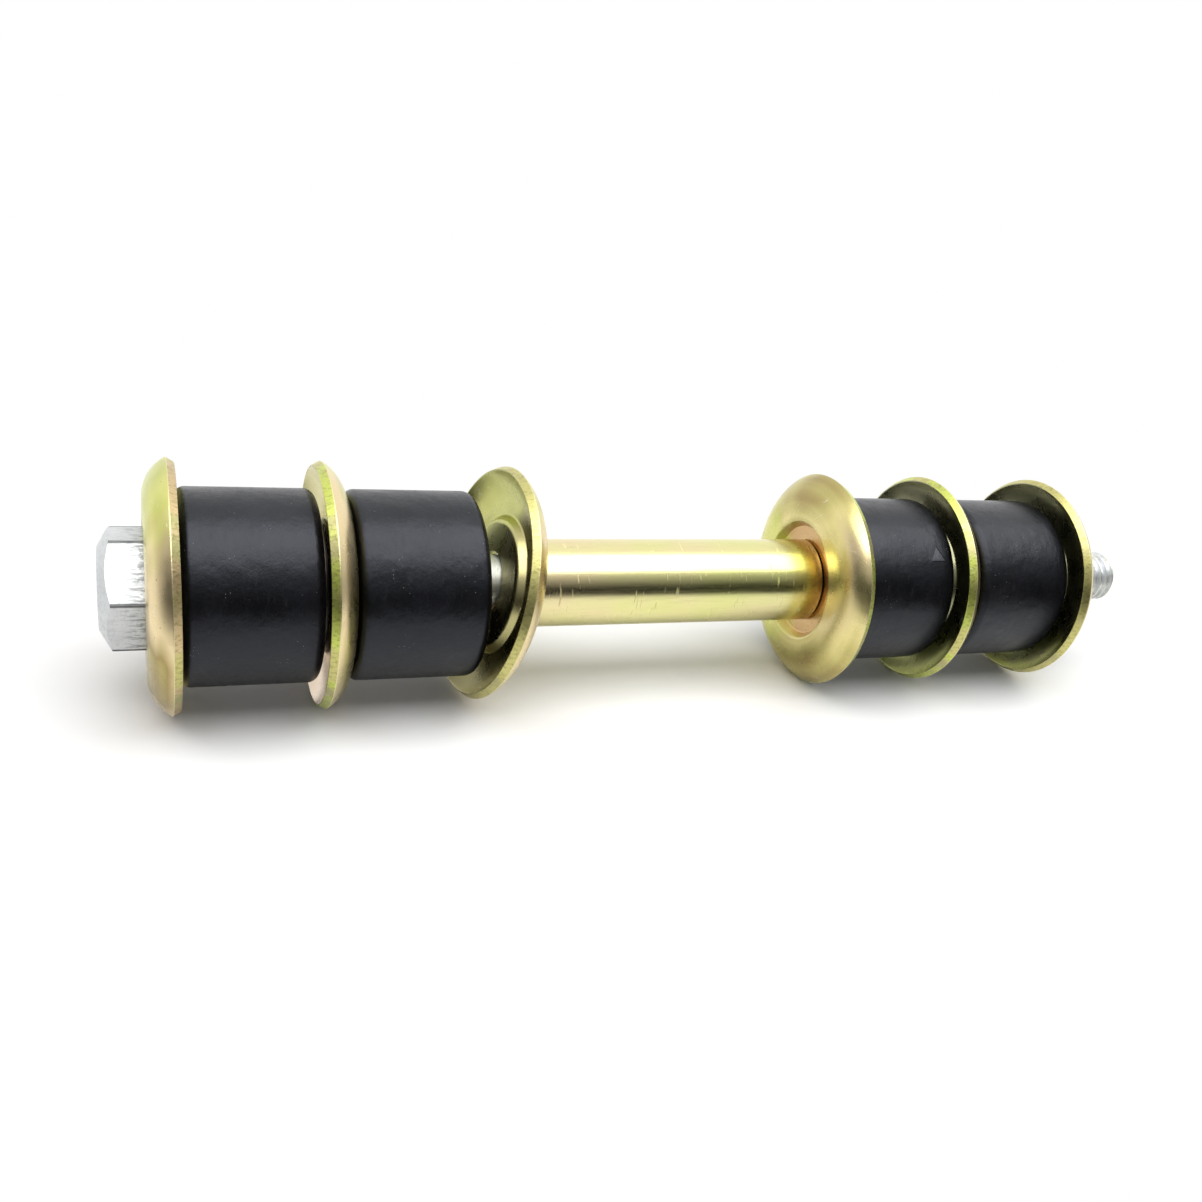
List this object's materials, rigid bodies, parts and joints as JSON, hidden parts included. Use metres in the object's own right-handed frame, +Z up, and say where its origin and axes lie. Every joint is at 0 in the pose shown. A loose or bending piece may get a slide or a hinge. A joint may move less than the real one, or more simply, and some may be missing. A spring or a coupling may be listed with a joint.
{
  "type": "anti-roll bar end link",
  "caption": "Straight bolt-type anti-roll bar end link: a long hexagon bolt through dished washers, rubber bushings and a spacer sleeve, closed by a nut.",
  "frame": {"origin": "on the bolt axis, halfway between the end of the head and the tip of the thread", "axes": "+X along the bolt from head to thread end, +Z up, the link lying level"},
  "size_m": [0.197, 0.04, 0.04],
  "materials": {
    "clear_zinc": "clear zinc plate, satin with fine drawing marks",
    "yellow_zinc": "yellow chromated zinc plate with faint green and pink tints",
    "yellow_zinc_tube": "yellow chromated zinc plate, drawn tube",
    "rubber": "moulded black rubber, satin"
  },
  "bodies": {
    "bolt": {"bolt": "clear_zinc"},
    "head_washer": {"head_washer": "yellow_zinc"},
    "head_bushing": {"head_bushing": "rubber"},
    "lower_middle_washer": {"lower_middle_washer": "yellow_zinc"},
    "lower_inner_bushing": {"lower_inner_bushing": "rubber"},
    "lower_spacer_washer": {"lower_spacer_washer": "yellow_zinc"},
    "spacer_sleeve": {"spacer_sleeve": "yellow_zinc_tube"},
    "upper_spacer_washer": {"upper_spacer_washer": "yellow_zinc"},
    "upper_inner_bushing": {"upper_inner_bushing": "rubber"},
    "upper_middle_washer": {"upper_middle_washer": "yellow_zinc"},
    "nut_bushing": {"nut_bushing": "rubber"},
    "nut_washer": {"nut_washer": "yellow_zinc"},
    "nut": {"nut": "clear_zinc"}
  },
  "joints": [
    {"name": "head_washer_spin", "type": "hinge", "parent": "bolt", "child": "head_washer", "pos_m": [0, 0, 0], "axis": [1, 0, 0], "continuous": true},
    {"name": "head_bushing_spin", "type": "hinge", "parent": "bolt", "child": "head_bushing", "pos_m": [0, 0, 0], "axis": [1, 0, 0], "continuous": true},
    {"name": "lower_middle_washer_spin", "type": "hinge", "parent": "bolt", "child": "lower_middle_washer", "pos_m": [0, 0, 0], "axis": [1, 0, 0], "continuous": true},
    {"name": "lower_inner_bushing_spin", "type": "hinge", "parent": "bolt", "child": "lower_inner_bushing", "pos_m": [0, 0, 0], "axis": [1, 0, 0], "continuous": true},
    {"name": "spacer_sleeve_spin", "type": "hinge", "parent": "bolt", "child": "spacer_sleeve", "pos_m": [0, 0, 0], "axis": [1, 0, 0], "continuous": true},
    {"name": "upper_spacer_washer_spin", "type": "hinge", "parent": "bolt", "child": "upper_spacer_washer", "pos_m": [0, 0, 0], "axis": [1, 0, 0], "continuous": true},
    {"name": "upper_inner_bushing_spin", "type": "hinge", "parent": "bolt", "child": "upper_inner_bushing", "pos_m": [0, 0, 0], "axis": [1, 0, 0], "continuous": true},
    {"name": "upper_middle_washer_spin", "type": "hinge", "parent": "bolt", "child": "upper_middle_washer", "pos_m": [0, 0, 0], "axis": [1, 0, 0], "continuous": true},
    {"name": "nut_bushing_spin", "type": "hinge", "parent": "bolt", "child": "nut_bushing", "pos_m": [0, 0, 0], "axis": [1, 0, 0], "continuous": true},
    {"name": "lower_spacer_washer_rock", "type": "hinge", "parent": "bolt", "child": "lower_spacer_washer", "pos_m": [-0.0367, 0, 0], "axis": [0, 0.9563, 0.2924], "range_deg": [-24, 0]},
    {"name": "nut_washer_travel", "type": "slide", "parent": "bolt", "child": "nut_washer", "axis": [1, 0, 0], "range_m": [0, 0.009]},
    {"name": "nut_turn", "type": "hinge", "parent": "nut_washer", "child": "nut", "pos_m": [0, 0, 0], "axis": [1, 0, 0], "range_deg": [0, 2170]}
  ],
  "couplings": [
    {"joint": "nut_turn", "follows": "nut_washer_travel", "rad_per_m": 4188.8}
  ]
}
